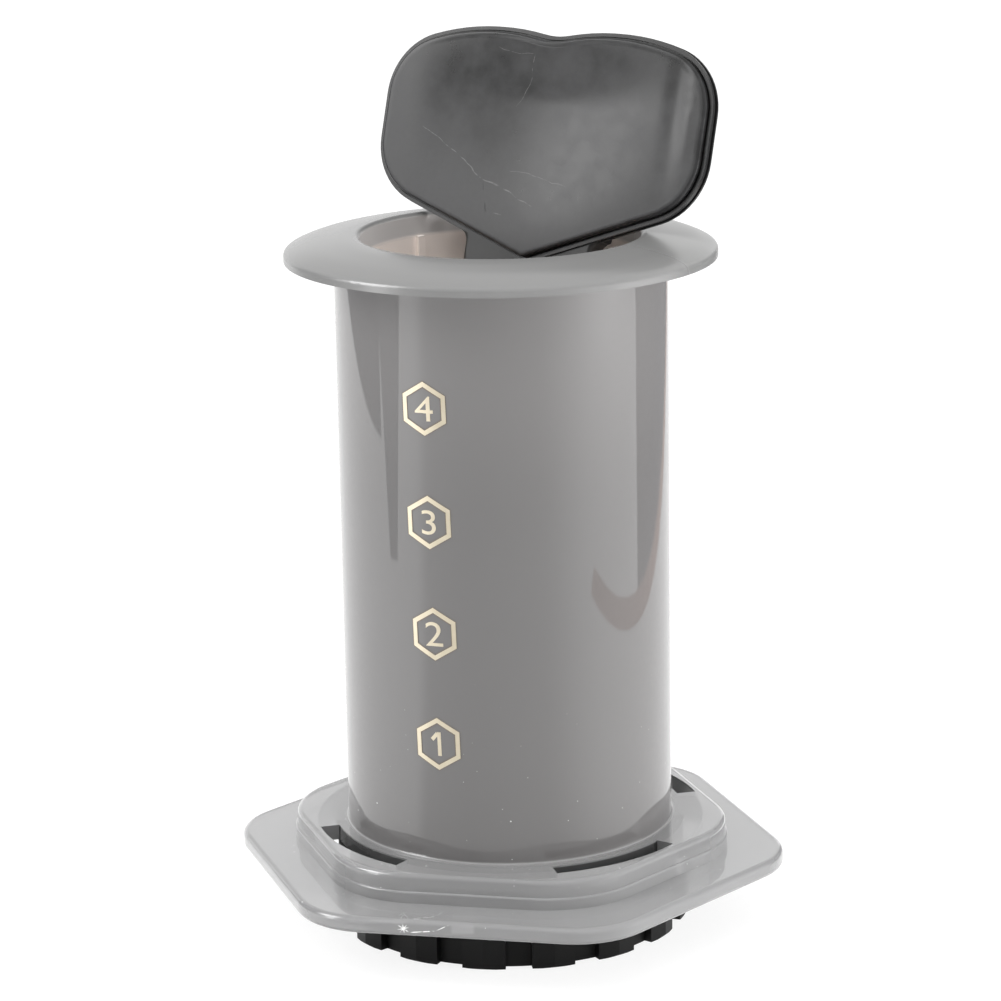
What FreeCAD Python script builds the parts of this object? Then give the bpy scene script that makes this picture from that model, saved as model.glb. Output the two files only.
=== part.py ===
import FreeCAD, Part
import math
import os

# Manual coffee press. Millimetres, +Z up, origin on the tube's axis at the underside of the filter cap.
# A tube on a hexagonal foot takes a hollow plunger with a wide flange. A ribbed cap with a paper disc
# closes the foot from below by a bayonet twist, and a dished scoop stands in the plunger's bore.

# Chamber tube: its height is counted from the deck to the plunger flange's seat
TUBE_R = 32.0
TUBE_WALL = 2.25
TUBE_H = 113.3
SPIGOT_STEP = 0.35
SEAM_R = 0.5

# Hexagonal foot
FOOT_BRIM = 9.4
FOOT_T = 3.2
FOOT_CORNER_R = 15.8
FOOT_TURN = -11.7
FOOT_TOP_ROUND = 1.1
FOOT_LOW_ROUND = 0.9

# Raised deck on the foot, in two tiers
DECK_WALL = 1.6
DECK_CORNER_R = 19.9
DECK_T = 3.0
DECK_ROUND = 1.0
TIER_H = 2.3
TIER_STEP = 0.45
TIER_ROUND = 0.4

# Curved slots through the deck and the bayonet ledges below them
SLOT_COUNT = 4
SLOT_FROM_TUBE = 2.4
SLOT_W = 3.8
SLOT_SPAN = 42.0
SLOT_START = 13.0
LEDGE_RISE = 0.3
LEDGE_T = 2.5
LEDGE_W = 3.7

# Plunger
FLANGE_R = 41.5
FLANGE_SEAT_W = 1.5
FLANGE_LIP_T = 1.1
FLANGE_LIP_W = 1.0
FLANGE_DROP = 1.65
FLANGE_T = 2.9
DOME_SHARES = ((0.40, 0.14), (0.75, 0.42), (0.92, 0.68))
DOME_END_LEAN = 0.1
RIM_ROUND = 0.7
FLARE_W = 0.7
FLARE_H = 4.3
BORE_DRAFT = 1.3
PLUNGER_WALL = 2.5
PLUNGER_GAP = 1.05
BORE_FLOOR_T = 2.6
RIB_COUNT = 2
RIB_AZIMUTH = 127.3
RIB_W = 1.6
RIB_H = 0.8
NECK_R = 20.0
NECK_H = 4.0
HEAD_R = 24.5
HEAD_H = 4.0

# Seal: it rests a little above the paper when the plunger is right in
SEAL_H = 14.7
SEAL_REST = 2.9
LIP_H = 2.0
LIP_IN = 0.5
LIP_EDGE = 1.0

# Filter cap
CAP_FLOOR_Z = 1.2
CAP_FLOOR_T = 2.2
CAP_WALL = 1.05
CAP_FOOT_W = 2.5
GRIP_H = 11.2
TOOTH_COUNT = 16
TOOTH_SPAN = 14.0
TOOTH_AZIMUTH = 13.2
TOOTH_H = 1.6
RIDGE_H = 0.6
GRIP_ROUND = 0.4
COLLAR_LAP = 1.2
LUG_SPAN = 32.0
LUG_T = 2.2
HOLE_RINGS = 5
HOLE_PITCH = 5.2
HOLE_R = 0.9

# Paper disc
PAPER_T = 0.3

# Scoop, in its own plane: X across, Y up from the plunger's rim, Z out of the dished face
SCOOP_YAW = 31.3
SCOOP_LEAN = 17.8
HEART_HALF_W = 35.0
HEART_TOP = 36.4
HEART_TIP = -6.4
HEART_V_ANGLE = 20.2
LOBE_X = 12.9
LOBE_R = 47.5
LOBE_CORNER_R = 11.4
SIDE_CORNER_R = 11.7
CORNER_SHARE = 0.6
NOTCH_R = 16.4
TIP_R = 1.2
BOWL_OUT = 0.35
BOWL_T = 1.8
BOWL_ROUND = 0.6
DISH_INSET = 4.8
DISH_DEPTH = 2.6
DISH_FOOT_R = 1.9
DISH_WALL = 1.3
DISH_NOTCH_R = 20.0
DISH_TIP_R = 7.2
FRAME_LEDGE_OUT = 1.35
FRAME_GROOVE_OUT = 0.9
FRAME_RIM_OUT = 1.55
FRAME_LEDGE_H = 0.5
FRAME_LEDGE_T = 0.8
FRAME_GROOVE_T = 0.5
FRAME_RIM_T = 0.5
HANDLE_W = 28.3
HANDLE_TIP_W = 16.5
HANDLE_T = 4.8
HANDLE_NECK = 5.0
HANDLE_CORNER_R = 6.0
HANDLE_ROUND = 0.9
SHOULDER_R = 2.5

# Clearances
SEAL_FIT = 0.05
CAP_FIT = 0.3
CAP_PLAY = 0.3
PAPER_FIT = 0.2
LUG_PLAY = 0.2
LUG_HEADROOM = 0.6
HEAD_FIT = 0.1
BOWL_FIT = 0.3
SEAT_GAP = 0.3
OVER = 1.0

ORIGIN = FreeCAD.Vector(0, 0, 0)
AXIS = FreeCAD.Vector(0, 0, 1)
RIGHT = FreeCAD.Vector(1, 0, 0)

# Radii, from the tube outwards and inwards
TUBE_IN_R = TUBE_R - TUBE_WALL
SPIGOT_R = TUBE_R - SPIGOT_STEP
SLOT_R_IN = TUBE_R + SLOT_FROM_TUBE
SLOT_R_OUT = SLOT_R_IN + SLOT_W
LEDGE_R_IN = SLOT_R_OUT - LEDGE_W
DECK_INRADIUS = SLOT_R_OUT + DECK_WALL
FOOT_INRADIUS = DECK_INRADIUS + FOOT_BRIM
CAP_IN_R = SPIGOT_R + CAP_FIT
CAP_CORE_R = CAP_IN_R + CAP_WALL
TOOTH_R = CAP_CORE_R + TOOTH_H
RIDGE_R = TOOTH_R + RIDGE_H
PAPER_R = CAP_IN_R - PAPER_FIT
PLUNGER_R = TUBE_IN_R - PLUNGER_GAP
BORE_R = PLUNGER_R - PLUNGER_WALL
BORE_LOW_R = BORE_R - BORE_DRAFT
RIM_R = BORE_R + FLARE_W

# Heights, from the cap's underside upwards
PAPER_Z = CAP_FLOOR_Z + CAP_FLOOR_T
SPIGOT_Z = PAPER_Z + PAPER_T
FOOT_Z = GRIP_H + CAP_PLAY
FOOT_TOP_Z = FOOT_Z + FOOT_T
LEDGE_Z = FOOT_Z + LEDGE_RISE
LEDGE_TOP_Z = LEDGE_Z + LEDGE_T
LUG_Z = LEDGE_TOP_Z + LUG_PLAY
LUG_TOP_Z = LUG_Z + LUG_T
RECESS_TOP_Z = LUG_TOP_Z + LUG_HEADROOM
DECK_Z = RECESS_TOP_Z + DECK_T
FLANGE_SEAT_Z = DECK_Z + TUBE_H
RIM_Z = FLANGE_SEAT_Z + FLANGE_T
PLUNGER_END_Z = SPIGOT_Z + SEAL_REST + SEAL_H
BORE_FLOOR_Z = PLUNGER_END_Z + BORE_FLOOR_T
BORE_DEPTH = RIM_Z - BORE_FLOOR_Z


def disc(radius, low, high):
    return Part.makeCylinder(radius, high - low, FreeCAD.Vector(0, 0, low))


def sector(outer, inner, low, high, start, span):
    corners = [(inner, low), (outer, low), (outer, high), (inner, high)]
    points = [FreeCAD.Vector(r, 0, z) for r, z in corners]
    face = Part.Face(Part.makePolygon(points + points[:1]))
    solid = face.revolve(ORIGIN, AXIS, span)
    solid.rotate(ORIGIN, AXIS, start)
    return solid


def turned(profile):
    """A solid of revolution from edges that close a profile in the XZ plane."""
    return Part.Face(Part.Wire(profile)).revolve(ORIGIN, AXIS, 360)


def outline_edges(points):
    """Straight edges through (radius, height) points."""
    at = [FreeCAD.Vector(r, 0, z) for r, z in points]
    return [Part.makeLine(a, b) for a, b in zip(at, at[1:])]


def level(edge, height):
    """True when the whole edge lies at one height."""
    box = edge.BoundBox
    return abs(box.ZMin - height) < 1e-4 and abs(box.ZMax - height) < 1e-4


def upright(solid):
    """The straight edges of a prism that run along its height."""
    return [e for e in solid.Edges if e.BoundBox.XLength < 1e-6 and e.BoundBox.YLength < 1e-6]


def prism(wire, low, high):
    """A wire drawn at height 0, as a solid between two heights."""
    solid = Part.Face(wire).extrude(AXIS * (high - low))
    solid.translate(AXIS * low)
    return solid


def hexagon(inradius, corner_r, low, high):
    corner = inradius / math.cos(math.radians(30))
    angles = [math.radians(FOOT_TURN + 60 * k) for k in range(7)]
    points = [FreeCAD.Vector(corner * math.cos(a), corner * math.sin(a), 0) for a in angles]
    solid = prism(Part.makePolygon(points), low, high)
    return solid.makeFillet(corner_r, upright(solid))


def make_chamber():
    plate = hexagon(FOOT_INRADIUS, FOOT_CORNER_R, FOOT_Z, FOOT_TOP_Z)
    plate = plate.makeFillet(FOOT_TOP_ROUND, [e for e in plate.Edges if level(e, FOOT_TOP_Z)])
    plate = plate.makeFillet(FOOT_LOW_ROUND, [e for e in plate.Edges if level(e, FOOT_Z)])
    tier_z = FOOT_TOP_Z + TIER_H
    tier = hexagon(DECK_INRADIUS + TIER_STEP, DECK_CORNER_R + TIER_STEP, FOOT_Z + OVER, tier_z)
    tier = tier.makeFillet(TIER_ROUND, [e for e in tier.Edges if level(e, tier_z)])
    deck = hexagon(DECK_INRADIUS, DECK_CORNER_R, FOOT_Z + OVER, DECK_Z)
    deck = deck.makeFillet(DECK_ROUND, [e for e in deck.Edges if level(e, DECK_Z)])
    foot = plate.fuse([tier, deck]).cut(disc(SLOT_R_OUT, FOOT_Z - OVER, RECESS_TOP_Z))
    tube = disc(TUBE_R, RECESS_TOP_Z, FLANGE_SEAT_Z)
    spigot = disc(SPIGOT_R, SPIGOT_Z, RECESS_TOP_Z + OVER)
    body = foot.fuse([tube, spigot])
    seam = [e for e in body.Edges if level(e, DECK_Z) and abs(e.BoundBox.XMax - TUBE_R) < 1e-4]
    body = body.makeFillet(SEAM_R, seam)
    body = body.cut(disc(TUBE_IN_R, 0, FLANGE_SEAT_Z + OVER))
    for k in range(SLOT_COUNT):
        start = SLOT_START + 360 / SLOT_COUNT * k
        body = body.cut(sector(SLOT_R_OUT, SLOT_R_IN, RECESS_TOP_Z - OVER, DECK_Z + OVER, start, SLOT_SPAN))
        body = body.fuse(sector(SLOT_R_OUT + OVER, LEDGE_R_IN, LEDGE_Z, LEDGE_TOP_Z, start, SLOT_SPAN))
    return body.removeSplitter()


def plunger_profile():
    """Right half of the plunger's section: down the bore, round the mushroom head, out along the flange."""
    flange_top = FLANGE_SEAT_Z - FLANGE_DROP + FLANGE_LIP_T
    slope = (FLANGE_R - RIM_R, RIM_Z - flange_top)
    dome_start = FreeCAD.Vector(RIM_R + 2 * RIM_ROUND, 0, RIM_Z)
    dome = [dome_start]
    for across, down in DOME_SHARES:
        dome.append(FreeCAD.Vector(RIM_R + slope[0] * across, 0, RIM_Z - slope[1] * down))
    dome.append(FreeCAD.Vector(FLANGE_R, 0, flange_top))
    curve = Part.BSplineCurve()
    curve.interpolate(dome, InitialTangent=RIGHT, FinalTangent=FreeCAD.Vector(DOME_END_LEAN, 0, -1))
    rim_low = (RIM_R, RIM_Z - RIM_ROUND)
    lip = RIM_ROUND * (1 - math.sqrt(0.5))
    rim_arc = Part.Arc(
        dome_start,
        FreeCAD.Vector(RIM_R + 2 * lip, 0, RIM_Z - lip),
        FreeCAD.Vector(rim_low[0], 0, rim_low[1]),
    )
    inside = [rim_low, (BORE_R, RIM_Z - FLARE_H), (BORE_LOW_R, BORE_FLOOR_Z), (0, BORE_FLOOR_Z)]
    neck_low = PLUNGER_END_Z - NECK_H
    head = [(0, BORE_FLOOR_Z), (0, neck_low - HEAD_H), (HEAD_R, neck_low - HEAD_H), (HEAD_R, neck_low)]
    end = [(HEAD_R, neck_low), (NECK_R, neck_low), (NECK_R, PLUNGER_END_Z), (PLUNGER_R, PLUNGER_END_Z)]
    lip_z = FLANGE_SEAT_Z - FLANGE_DROP
    seat = [(PLUNGER_R, PLUNGER_END_Z), (PLUNGER_R, FLANGE_SEAT_Z), (TUBE_R + FLANGE_SEAT_W, FLANGE_SEAT_Z)]
    under = [seat[-1], (FLANGE_R - FLANGE_LIP_W, lip_z), (FLANGE_R, lip_z)]
    edge = [under[-1], (FLANGE_R, flange_top)]
    edges = [curve.toShape(), rim_arc.toShape()]
    for run in (inside, head, end, seat, under, edge):
        edges += outline_edges(run)
    return edges


def bore_rib():
    """A low rib that follows the bore's tapering wall from its floor to the flare."""
    low_r = BORE_LOW_R - RIB_H
    rib_top = RIM_Z - FLARE_H
    corners = [(low_r, BORE_FLOOR_Z), (low_r + RIB_H + OVER, BORE_FLOOR_Z)]
    corners += [(BORE_R + OVER, rib_top), (BORE_R - RIB_H, rib_top)]
    points = [FreeCAD.Vector(r, -RIB_W / 2, z) for r, z in corners]
    return Part.Face(Part.makePolygon(points + points[:1])).extrude(FreeCAD.Vector(0, RIB_W, 0))


def make_plunger():
    body = turned(Part.__sortEdges__(plunger_profile()))
    for k in range(RIB_COUNT):
        rib = bore_rib()
        rib.rotate(ORIGIN, AXIS, RIB_AZIMUTH + 360 / RIB_COUNT * k)
        body = body.fuse(rib)
    return body.removeSplitter()


def make_seal():
    top = PLUNGER_END_Z
    low = top - SEAL_H
    lip_r = TUBE_IN_R - SEAL_FIT
    waist = lip_r - LIP_IN
    neck_low = top - NECK_H
    head_low = neck_low - HEAD_H
    outside = [(0, low), (lip_r - LIP_EDGE, low), (lip_r, low + LIP_EDGE), (lip_r, low + LIP_EDGE + LIP_H)]
    outside += [(waist, low + 2 * LIP_EDGE + LIP_H), (waist, top - 2 * LIP_EDGE - LIP_H)]
    outside += [(lip_r, top - LIP_EDGE - LIP_H), (lip_r, top - LIP_EDGE), (lip_r - LIP_EDGE, top)]
    neck_r = NECK_R + HEAD_FIT
    head_r = HEAD_R + HEAD_FIT
    pocket = [(lip_r - LIP_EDGE, top), (neck_r, top), (neck_r, neck_low + HEAD_FIT)]
    pocket += [(head_r, neck_low + HEAD_FIT), (head_r, head_low), (0, head_low), (0, low)]
    return turned(outline_edges(outside) + outline_edges(pocket))


def tooth():
    """One grip tooth: two facets that meet in a low ridge."""
    half = math.radians(TOOTH_SPAN / 2)
    inner = CAP_CORE_R - OVER
    points = []
    for radius, angle in ((inner, -half), (TOOTH_R, -half), (RIDGE_R, 0), (TOOTH_R, half), (inner, half)):
        points.append(FreeCAD.Vector(radius * math.cos(angle), radius * math.sin(angle), 0))
    return prism(Part.makePolygon(points + points[:1]), 0, GRIP_H)


def drain_holes():
    holes = [disc(HOLE_R, 0, PAPER_Z + OVER)]
    for k in range(1, HOLE_RINGS + 1):
        for n in range(6 * k):
            hole = disc(HOLE_R, 0, PAPER_Z + OVER)
            hole.translate(RIGHT * (HOLE_PITCH * k))
            hole.rotate(ORIGIN, AXIS, 60 / k * n)
            holes.append(hole)
    return Part.makeCompound(holes)


def make_cap():
    grip = disc(CAP_CORE_R, 0, GRIP_H)
    teeth = []
    for k in range(TOOTH_COUNT):
        piece = tooth()
        piece.rotate(ORIGIN, AXIS, TOOTH_AZIMUTH + 360 / TOOTH_COUNT * k)
        teeth.append(piece)
    grip = grip.fuse(teeth)
    hull = disc(RIDGE_R, 0, GRIP_H)
    hull = hull.makeChamfer(GRIP_ROUND, [e for e in hull.Edges if level(e, 0) or level(e, GRIP_H)])
    collar = disc(LEDGE_R_IN - CAP_FIT, GRIP_H - COLLAR_LAP, LUG_TOP_Z)
    body = grip.common(hull).fuse(collar)
    body = body.cut(disc(CAP_IN_R, PAPER_Z, LUG_TOP_Z + OVER))
    body = body.cut(disc(CAP_CORE_R - CAP_FOOT_W, -OVER, CAP_FLOOR_Z))
    lug_start = SLOT_START + (SLOT_SPAN - LUG_SPAN) / 2
    for k in range(SLOT_COUNT):
        start = lug_start + 360 / SLOT_COUNT * k
        body = body.fuse(sector(SLOT_R_OUT - CAP_FIT, CAP_IN_R, LUG_Z, LUG_TOP_Z, start, LUG_SPAN))
    return body.cut(drain_holes()).removeSplitter()


def make_paper():
    return disc(PAPER_R, PAPER_Z, PAPER_Z + PAPER_T)


def heart(inset, lobe_corner, side_corner, notch, tip, low, high):
    """A prism of the scoop's outline: two low lobes above, straight sides and a wide V below."""
    half = HEART_HALF_W - inset
    lobe_r = LOBE_R - inset
    lobe_y = HEART_TOP - LOBE_R
    v_slope = math.tan(math.radians(HEART_V_ANGLE))
    v_tip = HEART_TIP + inset / math.cos(math.radians(HEART_V_ANGLE))
    notch_y = lobe_y + math.sqrt(lobe_r ** 2 - LOBE_X ** 2)
    corner_y = lobe_y + math.sqrt(lobe_r ** 2 - (half - LOBE_X) ** 2)
    side_y = v_tip + half * v_slope
    widest = CORNER_SHARE * (corner_y - side_y)
    edges = []
    for side in (1, -1):
        top = FreeCAD.Vector(side * LOBE_X, lobe_y + lobe_r, 0)
        corner = FreeCAD.Vector(side * half, corner_y, 0)
        knee = FreeCAD.Vector(side * half, side_y, 0)
        edges.append(Part.Arc(FreeCAD.Vector(0, notch_y, 0), top, corner).toShape())
        edges.append(Part.makeLine(corner, knee))
        edges.append(Part.makeLine(knee, FreeCAD.Vector(0, v_tip, 0)))
    solid = prism(Part.Wire(Part.__sortEdges__(edges)), low, high)
    rounds = {
        "notch": (notch, []),
        "corner": (min(lobe_corner, widest), []),
        "knee": (min(side_corner, widest), []),
        "tip": (tip, []),
    }
    for edge in upright(solid):
        x, y = abs(edge.CenterOfMass.x), edge.CenterOfMass.y
        place = "notch" if x < 1 and y > 0.5 * HEART_TOP else "tip" if x < 1 else "knee"
        if place == "knee" and y > 0.5 * HEART_TOP:
            place = "corner"
        rounds[place][1].append(edge)
    for radius, chosen in rounds.values():
        left = [e for e in upright(solid) if any(same_place(e, c) for c in chosen)]
        solid = solid.makeFillet(radius, left)
    return solid


def same_place(edge, other):
    return (edge.CenterOfMass - other.CenterOfMass).Length < 1e-3


def plain_heart(out, low, high):
    """The outline moved outwards by a small amount, with its own corner radii."""
    return heart(-out, LOBE_CORNER_R + out, SIDE_CORNER_R + out, NOTCH_R, TIP_R + out, low, high)


def dish(inset, top, depth, foot_r):
    """A pocket of the scoop's outline with a rounded foot: the bowl's hollow, or its back."""
    solid = heart(inset, LOBE_CORNER_R, SIDE_CORNER_R, DISH_NOTCH_R, DISH_TIP_R, -depth, top)
    return solid.makeFillet(foot_r, [e for e in solid.Edges if level(e, -depth)])


def make_bowl():
    plate = plain_heart(BOWL_OUT, -BOWL_T, 0)
    back = dish(DISH_INSET - DISH_WALL, -BOWL_ROUND, DISH_DEPTH + DISH_WALL, DISH_FOOT_R + DISH_WALL)
    body = plate.fuse(back).cut(dish(DISH_INSET, OVER, DISH_DEPTH, DISH_FOOT_R))
    return body.makeFillet(BOWL_ROUND, [e for e in body.Edges if level(e, 0)]).removeSplitter()


def v_height(out, across):
    """Height of the outline's V, moved outwards, at a distance across from the middle."""
    v_angle = math.radians(HEART_V_ANGLE)
    return HEART_TIP - out / math.cos(v_angle) + across * math.tan(v_angle)


def scoop_stance():
    """Handle length, and how far back of the axis and above the rim the scoop's plane stands.

    The handle's tip stands in the corner of the bore's floor and wall, and the rim's V rests on the
    plunger's rim at both sides, each with the same seat gap.
    """
    lean = math.radians(SCOOP_LEAN)
    thick = BOWL_T + HANDLE_T
    length = (BORE_DEPTH - SEAT_GAP - thick * math.sin(lean)) / math.cos(lean)
    elbow = HANDLE_CORNER_R * (1 - math.sqrt(0.5))
    elbow_x = HANDLE_TIP_W / 2 - elbow
    wall = math.sqrt((BORE_LOW_R - SEAT_GAP) ** 2 - elbow_x ** 2)
    back = (length - elbow) * math.sin(lean) - BOWL_T * math.cos(lean) - wall
    rim_back = BOWL_T - FRAME_LEDGE_H + FRAME_LEDGE_T + FRAME_GROOVE_T + FRAME_RIM_T
    seat_back = back + rim_back / math.cos(lean)
    across = math.sqrt((RIM_R + RIM_ROUND) ** 2 - seat_back ** 2)
    seat_y = v_height(FRAME_RIM_OUT, across)
    lift = SEAT_GAP - seat_y * math.cos(lean) + rim_back * math.sin(lean)
    return length + lift / math.cos(lean), back, lift


def shoulder(side):
    """The rounded inner corner where one side of the handle meets the rim's V, from the V to the side."""
    v_angle = math.radians(HEART_V_ANGLE)
    half = HANDLE_W / 2
    corner = FreeCAD.Vector(side * half, v_height(FRAME_RIM_OUT, half), 0)
    along = FreeCAD.Vector(side * math.cos(v_angle), math.sin(v_angle), 0)
    down = FreeCAD.Vector(0, -1, 0)
    between = along.getAngle(down) / 2
    middle = (along + down).normalize()
    run = SHOULDER_R / math.tan(between)
    deep = SHOULDER_R / math.sin(between) - SHOULDER_R
    return corner + along * run, corner + middle * deep, corner + down * run


def handle_outline(end):
    half = HANDLE_W / 2
    edges = []
    for side in (1, -1):
        start, middle, stop = shoulder(side)
        inner = FreeCAD.Vector(start.x, start.y + SHOULDER_R, 0)
        neck = FreeCAD.Vector(side * half, -HANDLE_NECK - SHOULDER_R, 0)
        tip = FreeCAD.Vector(side * HANDLE_TIP_W / 2, end, 0)
        edges.append(Part.makeLine(FreeCAD.Vector(0, inner.y, 0), inner))
        edges.append(Part.makeLine(inner, start))
        edges.append(Part.Arc(start, middle, stop).toShape())
        edges.append(Part.makeLine(stop, neck))
        edges.append(Part.makeLine(neck, tip))
        edges.append(Part.makeLine(tip, FreeCAD.Vector(0, end, 0)))
    return Part.Wire(Part.__sortEdges__(edges))


def make_handle(front):
    end = -scoop_stance()[0]
    handle = prism(handle_outline(end), front - HANDLE_T, front)
    ends = [e for e in upright(handle) if e.CenterOfMass.y < end + OVER and abs(e.CenterOfMass.x) > OVER]
    handle = handle.makeFillet(HANDLE_CORNER_R, ends)
    low = shoulder(1)[0].y
    rims = [e for e in handle.Edges if level(e, front) or level(e, front - HANDLE_T)]
    return handle.makeFillet(HANDLE_ROUND, [e for e in rims if e.CenterOfMass.y < low])


def make_frame():
    seat = -BOWL_T
    ledge_back = seat + FRAME_LEDGE_H - FRAME_LEDGE_T
    rim_front = ledge_back - FRAME_GROOVE_T
    back = rim_front - FRAME_RIM_T
    ledge = plain_heart(FRAME_LEDGE_OUT, ledge_back, seat + FRAME_LEDGE_H)
    core = plain_heart(FRAME_GROOVE_OUT, back, seat)
    rim = plain_heart(FRAME_RIM_OUT, back, rim_front)
    body = ledge.fuse([core, rim, make_handle(seat)])
    body = body.cut(plain_heart(BOWL_OUT + BOWL_FIT, seat, seat + FRAME_LEDGE_H + OVER))
    inset = DISH_INSET - DISH_WALL - BOWL_FIT
    low = seat - HANDLE_T - OVER
    window = heart(inset, LOBE_CORNER_R, SIDE_CORNER_R, NOTCH_R, TIP_R, low, seat + OVER)
    return body.cut(window).removeSplitter()


def stand(solid):
    """Turn a scoop piece from its own plane to where it stands in the plunger's bore."""
    back, lift = scoop_stance()[1:]
    solid.rotate(ORIGIN, RIGHT, 90 - SCOOP_LEAN)
    solid.translate(FreeCAD.Vector(0, back, RIM_Z + lift))
    solid.rotate(ORIGIN, AXIS, -SCOOP_YAW)
    return solid


def main():
    os.makedirs("parts", exist_ok=True)
    pieces = {
        "chamber": make_chamber(),
        "plunger": make_plunger(),
        "plunger_seal": make_seal(),
        "filter_cap": make_cap(),
        "paper_filter": make_paper(),
        "scoop_bowl": stand(make_bowl()),
        "scoop_frame": stand(make_frame()),
    }
    for name, solid in pieces.items():
        print(name, "valid", solid.isValid(), "solids", len(solid.Solids), "volume", round(solid.Volume, 1))
        solid.exportStep("parts/" + name + ".step")
    print("scoop stance", [round(v, 3) for v in scoop_stance()])


main()
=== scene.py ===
# %% [markdown]
# # A hand coffee press
# The press comes from the CAD frame already in shape: the smoky chamber with its hexagonal foot, the
# plunger with its wide disc, the black cap below and the scoop that stands in the plunger's bore. This
# lesson gives every piece its finish, remodels the scoop's bowl as one soft hollow, and adds the gold
# numbers that are printed on the tube. Everything is in metres, in the frame's own place.

# %% Load the frame and list the CAD nodes
import math
import bmesh
import bpy
from mathutils import Matrix, Vector


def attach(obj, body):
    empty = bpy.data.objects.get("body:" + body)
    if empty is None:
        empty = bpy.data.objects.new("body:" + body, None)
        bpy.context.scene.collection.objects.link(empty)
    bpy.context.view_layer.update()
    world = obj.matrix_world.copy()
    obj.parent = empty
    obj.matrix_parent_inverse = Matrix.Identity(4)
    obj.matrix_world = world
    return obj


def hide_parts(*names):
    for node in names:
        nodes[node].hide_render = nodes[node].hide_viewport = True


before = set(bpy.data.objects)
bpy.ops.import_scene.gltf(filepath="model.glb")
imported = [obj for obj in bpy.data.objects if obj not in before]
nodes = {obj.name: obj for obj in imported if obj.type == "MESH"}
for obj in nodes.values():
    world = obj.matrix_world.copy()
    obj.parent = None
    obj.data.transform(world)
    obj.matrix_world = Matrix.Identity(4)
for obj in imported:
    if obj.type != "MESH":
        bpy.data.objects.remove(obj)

MM = 0.001
scene = bpy.context.scene


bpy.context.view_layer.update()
print("CAD nodes:", ", ".join(sorted(nodes)))

# %% [markdown]
# ## The camera
# The photograph looks down on the press by 14.5 degrees from a good distance with a long lens, so the
# disc is a slim ellipse and the tube hardly tapers. The horizon is turned by one degree. The camera is
# built from the direction it looks in, its right hand and its up, which is easier to reason about than
# three Euler angles.

# %% Camera
IMAGE_PX = 1001
LENS_PX = 3729.9
SENSOR_MM = 36
NEAR_CLIP = 0.05
TILT = math.radians(14.52)
ROLL = math.radians(-0.9865)
DISTANCE = 0.7246
TARGET = Vector((-0.000859, 0, 0.08355))

forward = Vector((0, math.cos(TILT), -math.sin(TILT)))
level_up = Vector((0, math.sin(TILT), math.cos(TILT)))
level_right = Vector((1, 0, 0))
right = level_right * math.cos(ROLL) + level_up * math.sin(ROLL)
up = level_up * math.cos(ROLL) - level_right * math.sin(ROLL)

lens = bpy.data.cameras.new("camera")
lens.sensor_width = SENSOR_MM
lens.lens = LENS_PX / IMAGE_PX * SENSOR_MM
lens.clip_start = NEAR_CLIP
camera = bpy.data.objects.new("camera", lens)
scene.collection.objects.link(camera)
stand = Matrix((right, up, -forward)).transposed().to_4x4()
stand.translation = TARGET - forward * DISTANCE
camera.matrix_world = stand
scene.camera = camera
print("Lens:", round(lens.lens, 1), "mm at", round(DISTANCE, 3), "m")

# %% [markdown]
# ## Small helpers for shader nodes
# A finish is a small graph. These helpers make one node at a time and connect whatever they are given:
# a number goes into the socket, another node's output is linked to it. That keeps each finish readable.

# %% Helpers for materials
def new_finish(name):
    material = bpy.data.materials.new(name)
    material.use_nodes = True
    tree = material.node_tree
    return material, tree, tree.nodes["Principled BSDF"]


def plug(tree, socket, value):
    if isinstance(value, bpy.types.NodeSocket):
        tree.links.new(value, socket)
    else:
        socket.default_value = value


def math_node(tree, operation, a, b=0.0, c=0.0):
    node = tree.nodes.new("ShaderNodeMath")
    node.operation = operation
    for socket, value in zip(node.inputs, (a, b, c)):
        plug(tree, socket, value)
    return node.outputs[0]


def times(tree, a, b):
    return math_node(tree, "MULTIPLY", a, b)


def larger(tree, a, b):
    return math_node(tree, "MAXIMUM", a, b)


def smooth_step(tree, value, low, high, bottom=0.0, top=1.0):
    """From bottom to top, softly, while the value goes from low to high. High may be below low."""
    node = tree.nodes.new("ShaderNodeMapRange")
    node.interpolation_type = "SMOOTHSTEP"
    for name, number in (("Value", value), ("From Min", low), ("From Max", high),
                         ("To Min", bottom), ("To Max", top)):
        plug(tree, node.inputs[name], number)
    return node.outputs["Result"]


def mix_colour(tree, share, first, second):
    node = tree.nodes.new("ShaderNodeMix")
    node.data_type = "RGBA"
    plug(tree, node.inputs["Factor"], share)
    for socket, value in ((node.inputs[6], first), (node.inputs[7], second)):
        plug(tree, socket, value if isinstance(value, bpy.types.NodeSocket) else (*value, 1))
    return node.outputs[2]


def mix_number(tree, share, first, second):
    node = tree.nodes.new("ShaderNodeMix")
    for socket, value in zip((node.inputs[0], node.inputs[2], node.inputs[3]), (share, first, second)):
        plug(tree, socket, value)
    return node.outputs[0]


def object_place(tree):
    return tree.nodes.new("ShaderNodeTexCoord").outputs["Object"]


def mapped(tree, place, location=(0, 0, 0), rotation=(0, 0, 0), scale=(1, 1, 1), kind="POINT"):
    node = tree.nodes.new("ShaderNodeMapping")
    node.vector_type = kind
    plug(tree, node.inputs["Vector"], place)
    node.inputs["Location"].default_value = location
    node.inputs["Rotation"].default_value = rotation
    node.inputs["Scale"].default_value = scale
    return node.outputs[0]


def noise(tree, place, scale, detail=3.0, roughness=0.5, distortion=0.0, output="Fac"):
    node = tree.nodes.new("ShaderNodeTexNoise")
    plug(tree, node.inputs["Vector"], place)
    for name, number in (("Scale", scale), ("Detail", detail), ("Roughness", roughness),
                         ("Distortion", distortion)):
        node.inputs[name].default_value = number
    return node.outputs[output]


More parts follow.
